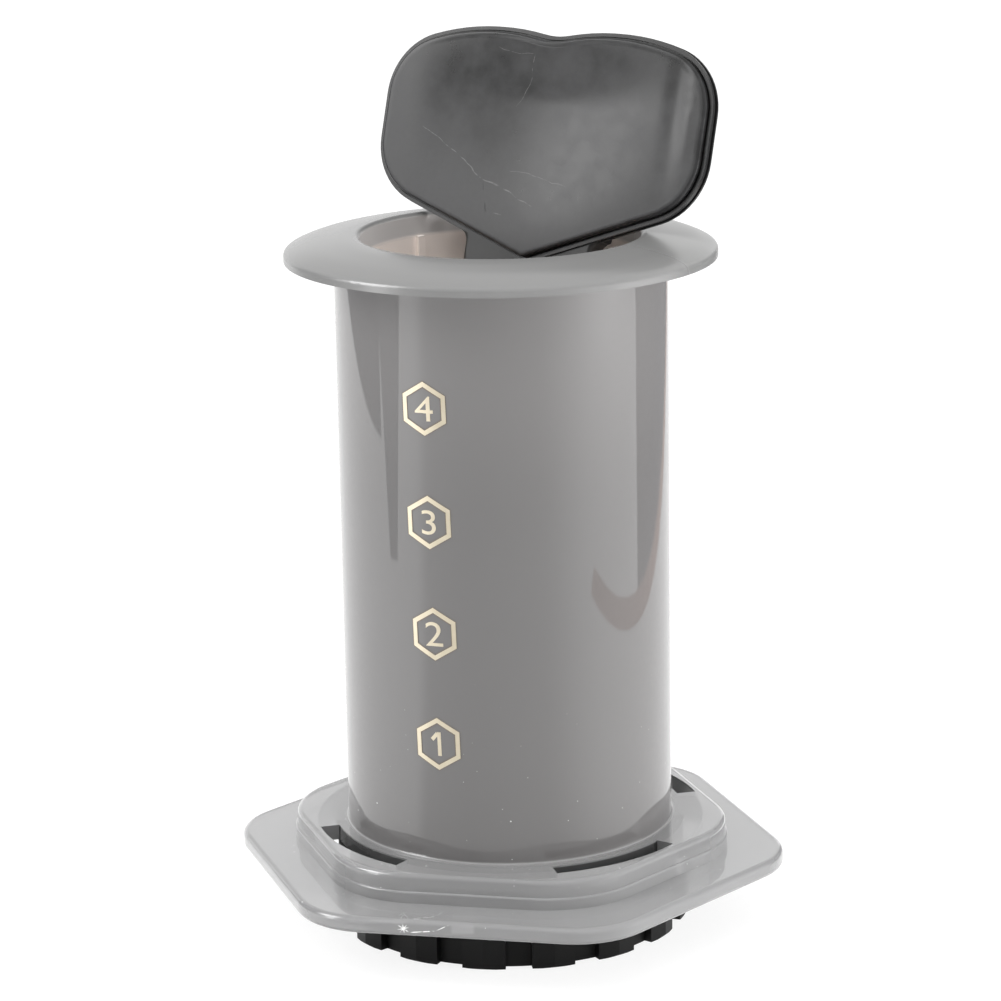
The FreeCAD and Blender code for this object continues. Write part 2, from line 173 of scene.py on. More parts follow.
def split(tree, place):
    node = tree.nodes.new("ShaderNodeSeparateXYZ")
    plug(tree, node.inputs[0], place)
    return node.outputs["X"], node.outputs["Y"], node.outputs["Z"]


def radius_of(tree, x, y):
    return math_node(tree, "SQRT", math_node(tree, "ADD", times(tree, x, x), times(tree, y, y)))


def bump(tree, height, strength, distance):
    node = tree.nodes.new("ShaderNodeBump")
    plug(tree, node.inputs["Height"], height)
    node.inputs["Strength"].default_value = strength
    node.inputs["Distance"].default_value = distance
    return node.outputs["Normal"]


def dress(piece, material):
    piece.data.materials.clear()
    piece.data.materials.append(material)


print("Helpers ready")

# %% [markdown]
# ## The floor
# The press stands on a white table. The camera is to see it as white, and the press's own shadow has to
# stay on it, so the floor is part plain paint and part glow, and only for the rays that look at it
# directly, in a gloss or through glass. All other light meets plain pale paint. In a gloss, the glow
# is weaker in front of the press than beside it: there the photographer's side of the room is dim, and
# the middle of the tube mirrors it.

# %% Floor
FLOOR_PAINT = 0.8
FLOOR_ROUGH = 0.9
FLOOR_R = 6.0
FLOOR_SIDES = 96
GLOW = 1.18
GLOW_SHARE = 0.72
FRONT_SHADE = 0.62
SHADE_LEFT = (-0.89, -0.78)
SHADE_RIGHT = (0.97, 0.35)
SHADE_AHEAD = (0.0, -0.2)


def front_shade(tree):
    """How far the table in front of the press is in shade: 0 at the sides and behind, 1 in front."""
    x, y, _ = split(tree, object_place(tree))
    away = radius_of(tree, x, y)
    aside = math_node(tree, "DIVIDE", x, away)
    ahead = math_node(tree, "DIVIDE", y, away)
    left = smooth_step(tree, aside, *SHADE_LEFT)
    right_side = smooth_step(tree, aside, *SHADE_RIGHT)
    return times(tree, times(tree, left, right_side), smooth_step(tree, ahead, *SHADE_AHEAD))


def table_finish():
    material, tree, shader = new_finish("white_table")
    shader.inputs["Base Color"].default_value = (FLOOR_PAINT, FLOOR_PAINT, FLOOR_PAINT, 1)
    shader.inputs["Roughness"].default_value = FLOOR_ROUGH
    shader.inputs["Specular IOR Level"].default_value = 0.0
    glow = tree.nodes.new("ShaderNodeEmission")
    glow.inputs["Color"].default_value = (1, 1, 1, 1)
    seen = tree.nodes.new("ShaderNodeLightPath")
    shade = times(tree, front_shade(tree), seen.outputs["Is Glossy Ray"])
    strength = math_node(tree, "MULTIPLY_ADD", shade, -FRONT_SHADE * GLOW, GLOW)
    plug(tree, glow.inputs["Strength"], strength)
    mirrored = larger(tree, seen.outputs["Is Glossy Ray"], seen.outputs["Is Transmission Ray"])
    looked_at = larger(tree, seen.outputs["Is Camera Ray"], mirrored)
    blend = tree.nodes.new("ShaderNodeMixShader")
    plug(tree, blend.inputs["Fac"], times(tree, looked_at, GLOW_SHARE))
    tree.links.new(shader.outputs[0], blend.inputs[1])
    tree.links.new(glow.outputs[0], blend.inputs[2])
    tree.links.new(blend.outputs[0], tree.nodes["Material Output"].inputs["Surface"])
    return material


def plain_floor():
    bm = bmesh.new()
    bmesh.ops.create_circle(bm, cap_ends=True, segments=FLOOR_SIDES, radius=FLOOR_R)
    mesh = bpy.data.meshes.new("table")
    bm.to_mesh(mesh)
    bm.free()
    floor = bpy.data.objects.new("table", mesh)
    scene.collection.objects.link(floor)
    dress(floor, table_finish())
    return floor


table = plain_floor()
print("Table radius", FLOOR_R, "m")

# %% [markdown]
# ## The room
# A world shader can answer each kind of ray differently. The camera, and what is seen through the smoky
# plastic, get plain white. Rays that only bring light get less from the front than from behind and most
# from above, as in a studio where only the table and the backdrop are white. Glossy rays get a level of
# their own, so that the mirrored room can be set without changing how the press is lit.

# %% World
FRONT_FILL = 0.24
BACK_FILL = 0.75
FILL_RISE = (-0.75, 0.55)
SKY_FILL = 1.3
SKY_RISE = (0.25, 0.75)
FRONT_GLOSS = 0.35
BACK_GLOSS = 1.12
GLOSS_RISE = (-0.8, 0.1)
HIGH_GLOSS = 0.7
HIGH_RISE = (0.2, 0.4)


def studio_world():
    world = bpy.data.worlds.new("studio")
    scene.world = world
    world.use_nodes = True
    tree = world.node_tree
    tree.nodes.clear()
    _, y, z = split(tree, tree.nodes.new("ShaderNodeTexCoord").outputs["Generated"])
    level_fill = smooth_step(tree, y, *FILL_RISE, FRONT_FILL, BACK_FILL)
    fill = mix_number(tree, smooth_step(tree, z, *SKY_RISE), level_fill, SKY_FILL)
    level_gloss = smooth_step(tree, y, *GLOSS_RISE, FRONT_GLOSS, BACK_GLOSS)
    gloss = mix_number(tree, smooth_step(tree, z, *HIGH_RISE), level_gloss, HIGH_GLOSS)
    seen = tree.nodes.new("ShaderNodeLightPath")
    white = larger(tree, seen.outputs["Is Camera Ray"], seen.outputs["Is Transmission Ray"])
    level = mix_number(tree, seen.outputs["Is Glossy Ray"], fill, gloss)
    background = tree.nodes.new("ShaderNodeBackground")
    background.inputs["Color"].default_value = (1, 1, 1, 1)
    plug(tree, background.inputs["Strength"], mix_number(tree, white, level, 1.0))
    out = tree.nodes.new("ShaderNodeOutputWorld")
    tree.links.new(background.outputs[0], out.inputs["Surface"])


studio_world()
print("World ready")

# %% [markdown]
# ## The lamps
# A large soft box high at the left gives the scoop its sheen and the gold its shine. A small one low at
# the left draws the pale band down that side of the tube. The right and the top lamp only bring light:
# hidden from gloss, they leave no sharp streaks on the rounded edges of the foot. None is seen through
# the smoky plastic.

# %% Lamps
LAMPS = (
    ("soft_box_left", (-1.03, -0.21, 0.80), 0.15, (0.60, 0.62), 6.6, True),
    ("soft_box_low", (-0.82, -0.38, 0.13), 0.10, (0.25, 0.26), 1.0, True),
    ("soft_box_right", (0.80, -0.25, 0.14), 0.10, (0.34, 0.30), 6.5, False),
    ("soft_box_top", (-0.08, -0.28, 1.10), 0.10, (0.80, 0.80), 5.0, False),
)


def soft_box(name, place, aim_height, size, watts, in_gloss):
    """An area lamp that faces the press's axis at a height above the table."""
    light = bpy.data.lights.new(name, "AREA")
    light.shape = "RECTANGLE"
    light.size, light.size_y = size
    light.energy = watts
    lamp = bpy.data.objects.new(name, light)
    scene.collection.objects.link(lamp)
    lamp.location = place
    aim = Vector((0, 0, aim_height)) - Vector(place)
    lamp.rotation_euler = aim.to_track_quat("-Z", "Y").to_euler()
    lamp.visible_transmission = False
    lamp.visible_glossy = in_gloss
    print(name, "at", place, watts, "W")


for lamp_values in LAMPS:
    soft_box(*lamp_values)

# %% [markdown]
# ## Cards for the gloss
# A glossy tube is drawn by what it mirrors. The real one stood on a small white table: left and right of
# the table the room was dark, and that shows in the tube as tall arches with sharp edges. Plain cards stand
# in for it, as flags and reflectors do in a studio. Only gloss sees them: they neither light the press, nor
# shade it, nor show in the picture.

# %% Cards
TABLE_LEFT = -0.445
TABLE_RIGHT = 0.233
TABLE_EDGE = 0.030
TABLE_FRONT = -0.15
TABLE_BACK = 0.60
JUST_ABOVE = 0.001
DARK = (0.20, 0.20, 0.21)
WOOD = (0.66, 0.48, 0.42)
METAL = (0.3, 0.3, 0.31)
HIDDEN_FROM = ("camera", "diffuse", "transmission", "volume_scatter", "shadow")


def round_about(azimuth, distance, height):
    """A place seen from the tube: degrees from the camera's side, positive to the right."""
    turn = math.radians(azimuth)
    return Vector((distance * math.sin(turn), -distance * math.cos(turn), height))


def card(name, corners, tone):
    material = bpy.data.materials.new(name)
    material.use_nodes = True
    tree = material.node_tree
    tree.nodes.remove(tree.nodes["Principled BSDF"])
    glow = tree.nodes.new("ShaderNodeEmission")
    glow.inputs["Color"].default_value = (*tone, 1)
    tree.links.new(glow.outputs[0], tree.nodes["Material Output"].inputs["Surface"])
    bm = bmesh.new()
    bmesh.ops.contextual_create(bm, geom=[bm.verts.new(corner) for corner in corners])
    mesh = bpy.data.meshes.new(name)
    bm.to_mesh(mesh)
    bm.free()
    piece = bpy.data.objects.new(name, mesh)
    scene.collection.objects.link(piece)
    dress(piece, material)
    for ray in HIDDEN_FROM:
        setattr(piece, "visible_" + ray, False)


def standing_card(name, start, end, height, tone):
    """A card that stands on the table along a line."""
    foot = [Vector((*start, 0.0)), Vector((*end, 0.0))]
    card(name, foot + [corner + Vector((0, 0, height)) for corner in reversed(foot)], tone)


right_flag = TABLE_RIGHT + TABLE_EDGE
standing_card("flag_left", (TABLE_LEFT, 0.004), (TABLE_LEFT - 0.08, 0.50), 0.50, DARK)
standing_card("flag_right", (right_flag, 0.041), (right_flag, TABLE_BACK), 0.25, DARK)
standing_card("flag_front", (-0.97, -0.26), (-0.34, -0.94), 0.42, DARK)
edge_corners = [(TABLE_RIGHT, TABLE_FRONT), (right_flag, TABLE_FRONT),
                (right_flag, TABLE_BACK), (TABLE_RIGHT, TABLE_BACK)]
card("table_edge", [Vector((*corner, JUST_ABOVE)) for corner in edge_corners], WOOD)
stand_corners = [(-83.3, 0.0), (-77.0, 0.0), (-69.0, 0.09), (-92.0, 0.09)]
card("lamp_stand", [round_about(azimuth, 0.31, height) for azimuth, height in stand_corners], METAL)
print("Cards placed")

# %% [markdown]
# ## Dust and scratches
# Small marks tell the eye that a surface is real. Dust is a Voronoi texture: a cell has a point somewhere,
# near the point it is bright, and only some cells are chosen. A scratch is a stroke with two ends, drawn
# from the distance to its line, so that it is sharp from any distance and needs no picture.

# %% Specks and strokes
DOT_CORE = 0.45
LINE_CORE = 0.3
LINE_END = 0.8 * MM


def specks(tree, place, scale, size, share):
    """Bright dots where a grid of random cells has a point nearby; only some of the cells have one."""
    cells = tree.nodes.new("ShaderNodeTexVoronoi")
    plug(tree, cells.inputs["Vector"], place)
    cells.inputs["Scale"].default_value = scale
    dot = smooth_step(tree, cells.outputs["Distance"], size, size * DOT_CORE)
    red = tree.nodes.new("ShaderNodeSeparateColor")
    tree.links.new(cells.outputs["Color"], red.inputs[0])
    return times(tree, dot, math_node(tree, "LESS_THAN", red.outputs[0], share))


def stroke(tree, plane, start, end, width):
    """A soft line between two points of a plane, in millimetres."""
    a = Vector(start) * MM
    b = Vector(end) * MM
    length = (b - a).length
    angle = math.atan2(b.y - a.y, b.x - a.x)
    along, across, _ = split(tree, mapped(tree, plane, (a.x, a.y, 0), (0, 0, angle), kind="TEXTURE"))
    off = math_node(tree, "ABSOLUTE", across)
    thin = smooth_step(tree, off, width * MM, LINE_CORE * width * MM)
    begun = smooth_step(tree, along, 0, LINE_END)
    ended = smooth_step(tree, along, length, length - LINE_END)
    return times(tree, thin, times(tree, begun, ended))


def strokes(tree, plane, lines):
    drawn = 0.0
    for start, end, width in lines:
        drawn = larger(tree, drawn, stroke(tree, plane, start, end, width))
    return drawn


print("Specks and strokes ready")

# %% [markdown]
# ## The smoky chamber
# Tube and foot are one moulding in a clear grey plastic. The tube looks darker, because the plunger stands
# right behind its wall, and the foot looks paler, because light gets in from all sides. One finish does
# both: colour, clearness and gloss change at the foot of the tube. The tube is also painted a little paler
# towards its top, a painted light that makes up for the shade of the disc above it. The walls of the front
# slots are painted dark, a painted shade for the dark slots and the black cap behind them. Fine
# dust lies on the lower tube and the foot, and the foot's front edge has a white chip with a short
# scratch beside it, drawn in the plane of that edge.

# %% Chamber
TUBE_R = 32.0 * MM
DECK_TOP = 20.3 * MM
SLOT_WALL_R = 34.5 * MM
FOOT_FRONT_Y = -38 * MM
PAINTED_LIGHT_FROM = 85 * MM
PAINTED_LIGHT_TO = 135 * MM
TUBE_GREY = (0.115, 0.111, 0.110)
CLOUDED_GREY = tuple(c * 1.06 for c in TUBE_GREY)
# Painted light: the top of the tube is painted paler than the rest, making up for the shade the disc throws
# on it.
PAINTED_TOP_LIGHT = tuple(c * 1.45 for c in TUBE_GREY)
FOOT_GREY = (0.49, 0.49, 0.492)
# Painted shade: the walls of the front slots are painted dark, for the shade in the slots and the black cap
# seen through them.
SLOT_PAINTED_SHADE = (0.05, 0.05, 0.05)
MARK_WHITE = (0.92, 0.92, 0.91)
CLEARNESS = 0.6
FOOT_ROUGH = 0.12
FOOT_COAT = 0.6
COARSE_DUST = (300, 0.055, 0.30)
FINE_DUST = (560, 0.06, 0.30)
DUST_ABOVE = 60 * MM
DUST_BELOW = 15 * MM
EDGE_TILT = math.radians(75.5)
CHIP = (
    ((-21.6, 1.9), (-19.3, 0.4), 0.16),
    ((-21.7, 0.9), (-19.2, 1.4), 0.14),
    ((-20.6, 2.2), (-20.2, 0.1), 0.14),
    ((-21.2, 0.3), (-19.6, 2.0), 0.12),
    ((-19.3, 0.4), (-14.4, 0.7), 0.13),
    ((-14.4, 0.7), (-11.8, 1.9), 0.10),
)
PALE_PATCH = (((-11.8, 0.95), (-6.8, 0.95), 1.1),)


def on_the_tube(tree, z, radius):
    above = smooth_step(tree, z, DECK_TOP - 0.2 * MM, DECK_TOP + 0.4 * MM)
    return times(tree, above, smooth_step(tree, radius, TUBE_R + 1.2 * MM, TUBE_R + 0.2 * MM))


# Painted shade mask: the inner walls of the slots, on the front side only.
def in_front_slot(tree, y, z, radius):
    below = smooth_step(tree, z, DECK_TOP - 0.1 * MM, DECK_TOP - 0.4 * MM)
    inner = times(tree, below, smooth_step(tree, radius, SLOT_WALL_R + 0.25 * MM, SLOT_WALL_R))
    return times(tree, inner, smooth_step(tree, y, 0.0, -4 * MM))


def chip_marks(tree, place, y):
    """The white chip with its scratch, and the pale rubbed patch beside it."""
    edge_on = mapped(tree, place, (0, 0, 0), (EDGE_TILT, 0, 0), kind="TEXTURE")
    front = smooth_step(tree, y, FOOT_FRONT_Y, FOOT_FRONT_Y - 4 * MM)
    crazed = smooth_step(tree, noise(tree, place, 1500, 3), 0.35, 0.5)
    chip = times(tree, strokes(tree, edge_on, CHIP), times(tree, front, crazed))
    patch = times(tree, strokes(tree, edge_on, PALE_PATCH), times(tree, front, 0.3))
    return chip, patch


def chamber_finish():
    material, tree, shader = new_finish("smoky_plastic")
    place = object_place(tree)
    x, y, z = split(tree, place)
    radius = radius_of(tree, x, y)
    on_tube = on_the_tube(tree, z, radius)
    # Where the slot walls are painted dark as painted shade; there they are also made opaque.
    slot_shade_mask = in_front_slot(tree, y, z, radius)
    tube = mix_colour(tree, noise(tree, place, 28, 2), TUBE_GREY, CLOUDED_GREY)
    # Painted light: paler towards the top, making up for the disc's shade on the upper tube.
    tube = mix_colour(tree, smooth_step(tree, z, PAINTED_LIGHT_FROM, PAINTED_LIGHT_TO), tube, PAINTED_TOP_LIGHT)
    # The front slot walls get the painted shade colour.
    body = mix_colour(tree, on_tube, mix_colour(tree, slot_shade_mask, FOOT_GREY, SLOT_PAINTED_SHADE), tube)
    chip, patch = chip_marks(tree, place, y)
    dust = larger(tree, specks(tree, place, *COARSE_DUST), specks(tree, place, *FINE_DUST))
    low = smooth_step(tree, z, DUST_ABOVE, DUST_BELOW, 0.0, 0.9)
    marks = larger(tree, chip, times(tree, dust, low))
    plug(tree, shader.inputs["Base Color"], mix_colour(tree, larger(tree, marks, patch), body, MARK_WHITE))
    clear = math_node(tree, "MULTIPLY_ADD", on_tube, -CLEARNESS, CLEARNESS)
    covered = math_node(tree, "SUBTRACT", 1.0, larger(tree, marks, slot_shade_mask))
    plug(tree, shader.inputs["Transmission Weight"], times(tree, clear, covered))
    satin = smooth_step(tree, noise(tree, place, 900, 2), 0.2, 0.8, 0.50, 0.54)
    plug(tree, shader.inputs["Roughness"], mix_number(tree, on_tube, FOOT_ROUGH, satin))
    plug(tree, shader.inputs["Coat Weight"], mix_number(tree, on_tube, FOOT_COAT, 1.0))
    for name, number in (("IOR", 1.5), ("Specular IOR Level", 0.5), ("Coat Roughness", 0.03),
                         ("Coat IOR", 1.75), ("Sheen Weight", 0.25), ("Sheen Roughness", 0.3)):
        shader.inputs[name].default_value = number
    return material


dress(nodes["chamber"], chamber_finish())
print("Chamber dressed")

# %% [markdown]
# ## The plunger
# The disc and the inner tube are one satin grey moulding. Inside the bore the wall is painted a pale warm
# beige, a painted glow for the light that comes through the plunger's thin wall, and the bore's lip is
# painted paler, a painted highlight on its thin edge. The seal below is soft dark rubber.

# %% Plunger and seal
BORE_R = 27.4 * MM
SATIN_GREY = (0.178, 0.178, 0.176)
CLOUDED_SATIN = tuple(c * 1.03 for c in SATIN_GREY)
# Painted highlight: the bore's lip is painted paler, for the light on its thin edge.
LIP_PAINTED_HIGHLIGHT = (0.50, 0.48, 0.47)
# Painted glow: the bore's wall is painted a pale warm beige, for the light that comes through the plunger's
# wall.
BORE_PAINTED_GLOW = (0.97, 0.88, 0.82)
BEIGE_BELOW = 132.8 * MM
LIP_BELOW = 136.3 * MM
RUBBER_DARK = (0.018, 0.018, 0.018)
RUBBER_BLOOM = (0.035, 0.034, 0.033)


def plunger_finish():
    material, tree, shader = new_finish("satin_grey_plastic")
    place = object_place(tree)
    x, y, z = split(tree, place)
    radius = radius_of(tree, x, y)
    # Where the painted glow goes: the bore's wall below the lip.
    inside = times(tree, smooth_step(tree, radius, BORE_R, BORE_R - 0.6 * MM),
                   smooth_step(tree, z, BEIGE_BELOW, BEIGE_BELOW - 1.0 * MM))
    # Where the painted highlight goes: the bore's lip.
    lip = times(tree, smooth_step(tree, radius, BORE_R + 0.6 * MM, BORE_R + 0.2 * MM),
                smooth_step(tree, z, LIP_BELOW, LIP_BELOW - 0.7 * MM))
    cloud = noise(tree, place, 18, 1)
    satin = mix_colour(tree, lip, mix_colour(tree, cloud, SATIN_GREY, CLOUDED_SATIN), LIP_PAINTED_HIGHLIGHT)
    plug(tree, shader.inputs["Base Color"], mix_colour(tree, inside, satin, BORE_PAINTED_GLOW))
    plug(tree, shader.inputs["Roughness"], smooth_step(tree, cloud, 0.2, 0.8, 0.26, 0.28))
    shader.inputs["IOR"].default_value = 2.0
    return material


def rubber_finish():
    material, tree, shader = new_finish("dark_rubber")
    place = object_place(tree)
    bloom = noise(tree, place, 120, 4)
    plug(tree, shader.inputs["Base Color"], mix_colour(tree, bloom, RUBBER_DARK, RUBBER_BLOOM))
    plug(tree, shader.inputs["Roughness"], smooth_step(tree, bloom, 0.3, 0.7, 0.5, 0.62))
    plug(tree, shader.inputs["Normal"], bump(tree, noise(tree, place, 1800, 2), 0.15, 0.1 * MM))
    return material


dress(nodes["plunger"], plunger_finish())
dress(nodes["plunger_seal"], rubber_finish())
print("Plunger and seal dressed")

# %% [markdown]
# ## The cap and the paper
# The cap is black plastic with a fine moulded grain on its grip. The paper disc above it is white and
# fibrous, and shows only through the drain holes.

# %% Filter cap and paper filter
CAP_BLACK = (0.004, 0.004, 0.004)
CAP_WORN = (0.008, 0.008, 0.008)
PAPER_DARK = (0.70, 0.68, 0.64)
PAPER_PALE = (0.86, 0.85, 0.82)


def cap_finish():
    material, tree, shader = new_finish("black_cap_plastic")
    place = object_place(tree)
    cloud = noise(tree, place, 90, 4)
    plug(tree, shader.inputs["Base Color"], mix_colour(tree, cloud, CAP_BLACK, CAP_WORN))
    plug(tree, shader.inputs["Roughness"], smooth_step(tree, cloud, 0.3, 0.7, 0.46, 0.56))
    plug(tree, shader.inputs["Normal"], bump(tree, noise(tree, place, 2200, 2), 0.12, 0.06 * MM))
    shader.inputs["Specular IOR Level"].default_value = 0.3
    return material


def paper_finish():
    material, tree, shader = new_finish("filter_paper")
    fibre = noise(tree, object_place(tree), 1400, 6, 0.65, 1.2)
    plug(tree, shader.inputs["Base Color"], mix_colour(tree, fibre, PAPER_DARK, PAPER_PALE))
    shader.inputs["Roughness"].default_value = 0.95
    plug(tree, shader.inputs["Normal"], bump(tree, fibre, 0.5, 0.08 * MM))
    return material


dress(nodes["filter_cap"], cap_finish())
dress(nodes["paper_filter"], paper_finish())
print("Cap and paper dressed")

# %% [markdown]
# ## The scoop's plane
# The scoop leans in the bore, turned to the right and tipped back. Its bowl is far easier to draw lying
# flat, so it is modelled in the scoop's own plane, X across, Y up from the plunger's rim and Z out of the
# face, and one matrix then stands it up. The same matrix, given to a Mapping node, brings a point of the
# standing scoop back into that plane, which is where its scratches are drawn. A ruler-straight scratch
# looks drawn, so the plane is pushed about a little by a noise before the strokes are laid on it.

# %% The scoop's plane and its finish
YAW = math.radians(31.3)
LEAN = math.radians(17.8)
SCOOP_BACK = 9.429 * MM
SCOOP_FOOT_Z = (136.5 + 0.327) * MM
FACE_TONES = ((0.011, 0.011, 0.011), (0.027, 0.027, 0.028))
FRAME_TONES = ((0.009, 0.009, 0.009), (0.014, 0.014, 0.014))
SCRATCH_GREY = (0.42, 0.42, 0.41)
NICK_BLACK = (0.003, 0.003, 0.003)
SCRATCH_SHARE = 0.2
NICK_DEPTH = 8.0
GRAINS = (300, 0.05, 0.05)
WANDER = 2.2 * MM
SCRATCHES = (
    ((-26.6, 18.0), (-12.3, 8.3), 0.13),
    ((-12.3, 8.3), (0.6, 3.2), 0.13),
    ((-6.0, 9.4), (7.8, 7.3), 0.08),
    ((-3.1, 32.3), (-4.3, 28.5), 0.10),
    ((-4.3, 28.5), (-6.7, 22.5), 0.10),
    ((-12.0, 34.0), (-3.1, 32.3), 0.06),
    ((-7.5, 1.1), (-5.4, 1.1), 0.14),
)
DARK_NICKS = (
    ((-12.2, 13.9), (-11.5, 11.6), 0.22),
    ((-10.6, 7.4), (-10.1, 5.4), 0.20),
    ((-9.4, 3.4), (-8.5, 0.8), 0.22),
)

scoop_stand = (Matrix.Rotation(-YAW, 4, "Z") @ Matrix.Translation((0, SCOOP_BACK, SCOOP_FOOT_Z))
               @ Matrix.Rotation(math.radians(90) - LEAN, 4, "X"))


def scoop_plane(tree):
    """Object coordinates turned back into the scoop's own plane."""
    place = object_place(tree)
    return mapped(tree, place, scoop_stand.translation, scoop_stand.to_euler(), kind="TEXTURE")


def wander(tree, plane):
    """The plane pushed about by half a millimetre or so, which makes a straight stroke run unevenly."""
    cloud = noise(tree, plane, 120, 2.0, output="Color")
    push = mapped(tree, cloud, (-WANDER, -WANDER, 0), (0, 0, 0), (2 * WANDER, 2 * WANDER, 0))
    both = tree.nodes.new("ShaderNodeVectorMath")
    plug(tree, both.inputs[0], plane)
    plug(tree, both.inputs[1], push)
    return both.outputs[0]


def scoop_finish(name, tones, scratched):
    material, tree, shader = new_finish(name)
    plane = scoop_plane(tree)
    haze = mix_number(tree, 0.45, noise(tree, plane, 45, 5, 0.6), noise(tree, plane, 260, 4, 0.6))
    colour = mix_colour(tree, smooth_step(tree, haze, 0.35, 0.65), *tones)
    grain = noise(tree, plane, 1500, 2)
    if scratched:
        drift = wander(tree, plane)
        broken = smooth_step(tree, noise(tree, plane, 900, 3), 0.35, 0.6)
        worn = times(tree, times(tree, strokes(tree, drift, SCRATCHES), broken), SCRATCH_SHARE)
        worn = larger(tree, worn, specks(tree, plane, *GRAINS))
        nicks = times(tree, strokes(tree, drift, DARK_NICKS), broken)
        colour = mix_colour(tree, worn, colour, SCRATCH_GREY)
        colour = mix_colour(tree, nicks, colour, NICK_BLACK)
        grain = math_node(tree, "MULTIPLY_ADD", nicks, -NICK_DEPTH, grain)
    plug(tree, shader.inputs["Base Color"], colour)
    plug(tree, shader.inputs["Roughness"], smooth_step(tree, haze, 0.35, 0.65, 0.27, 0.37))
    plug(tree, shader.inputs["Normal"], bump(tree, grain, 0.06, 0.05 * MM))
    return material


dress(nodes["scoop_frame"], scoop_finish("scoop_black", FRAME_TONES, False))
print("Scoop plane at", tuple(round(v, 4) for v in scoop_stand.translation))

# %% [markdown]
# ## The outline of the bowl
# In the CAD file the bowl is a plain dish, so it is remodelled here as the soft hollow of the real one.
# Its outline is drawn as a draughtsman would with a compass: one vertex is spun round the notch, then
# round the lobe, the corner, the knee and the tip, with straight lines between, and the half is mirrored.

# %% Outline of the bowl
HALF_W = 35.0
LOBE_TOP = 36.4
V_TIP = -6.4
V_ANGLE = math.radians(20.2)
LOBE_X = 12.9
LOBE_R = 47.5
NOTCH_R = 16.4
CORNER_R = 11.4
KNEE_R = 11.7
TIP_R = 1.2
BOWL_OUT = 0.35
LONG_EDGE = 4
LONG_CUTS = 11


def swing(bm, vertex, centre, angle, steps):
    """Spin one vertex round a centre in the flat plane and return where it ends."""
    out = bmesh.ops.spin(bm, geom=[vertex], cent=(*centre, 0), axis=(0, 0, 1), dvec=(0, 0, 0),
                         angle=angle, steps=steps, use_merge=False, use_duplicate=False)
    return [v for v in out["geom_last"] if isinstance(v, bmesh.types.BMVert)][0]


def draw_to(bm, vertex, place):
    """A straight line from a vertex to a place, made by extruding the vertex."""
    end = bmesh.ops.extrude_vert_indiv(bm, verts=[vertex])["verts"][0]
    end.co = Vector((*place, 0))
    return end


def heart_outline(bm, out):
    """The scoop's outline in the XY plane, moved outwards by a small amount, in millimetres."""
    half = HALF_W + out
    lobe_r = LOBE_R + out
    lobe_y = LOBE_TOP - LOBE_R
    tip_y = V_TIP - out / math.cos(V_ANGLE)
    corner_r = CORNER_R + out
    knee_r = KNEE_R + out
    tip_r = TIP_R + out
    notch_y = lobe_y + math.sqrt((lobe_r + NOTCH_R) ** 2 - LOBE_X ** 2)
    corner_x = half - corner_r
    corner_y = lobe_y + math.sqrt((lobe_r - corner_r) ** 2 - (corner_x - LOBE_X) ** 2)
    knee_x = half - knee_r
    knee_y = tip_y + math.tan(V_ANGLE) * knee_x + knee_r / math.cos(V_ANGLE)
    tip_middle = tip_y + tip_r / math.cos(V_ANGLE)
    to_lobe = math.atan2(lobe_y - notch_y, LOBE_X)
    from_notch = math.atan2(notch_y - lobe_y, -LOBE_X)
    to_corner = math.atan2(corner_y - lobe_y, corner_x - LOBE_X)
    v = bm.verts.new((0, notch_y - NOTCH_R, 0))
    v = swing(bm, v, (0, notch_y), to_lobe + math.pi / 2, 8)
    v = swing(bm, v, (LOBE_X, lobe_y), to_corner - from_notch, 30)
    v = swing(bm, v, (corner_x, corner_y), -to_corner, 18)
    v = draw_to(bm, v, (half, knee_y))
    v = swing(bm, v, (knee_x, knee_y), V_ANGLE - math.pi / 2, 18)
    v = draw_to(bm, v, (tip_r * math.sin(V_ANGLE), tip_middle - tip_r * math.cos(V_ANGLE)))
    swing(bm, v, (0, tip_middle), -V_ANGLE, 4)
    bmesh.ops.remove_doubles(bm, verts=bm.verts[:], dist=1e-4)
    long_edges = [e for e in bm.edges if e.calc_length() > LONG_EDGE]
    bmesh.ops.subdivide_edges(bm, edges=long_edges, cuts=LONG_CUTS)
    bmesh.ops.mirror(bm, geom=bm.verts[:] + bm.edges[:], axis="X", merge_dist=1e-3)
    bmesh.ops.contextual_create(bm, geom=bm.edges[:])
    return bm.faces[:][0]


print("Outline", 2 * (HALF_W + BOWL_OUT), "mm wide")

# %% [markdown]
# ## The hollow of the bowl
# The hollow has a gentle wall at the left, a short one at the right with a shallow channel before it, and
# a floor that sags. Towards the top and the tip it runs out softly. A gloss shows every change of slope,
# so the depth is one smooth function of the place, and each ring of the mesh asks it how deep to lie.

# %% Hollow
HOLLOW_W = 31.5
WALL_LEFT = 12.0
WALL_RIGHT = 2.8
WALL_DROP = 0.36
FLOOR_W = 28.4
FLOOR_SAG = 1.45
CHANNEL = 0.19
CHANNEL_AT = 29.4
CHANNEL_W = 4.0
V_ROUND = 8.0
V_START = 1.0
RISE = 30.0
CREST = 39.0
FALL = 16.0
RINGS = 44


def ease(share):
    """From 0 to 1 with a soft start and a soft end."""
    share = min(max(share, 0.0), 1.0)
    return share * share * (3 - 2 * share)


def hump(distance, reach):
    """1 at no distance, falling softly to 0 at the reach."""
    return (1 - min(abs(distance) / reach, 1.0) ** 2) ** 2


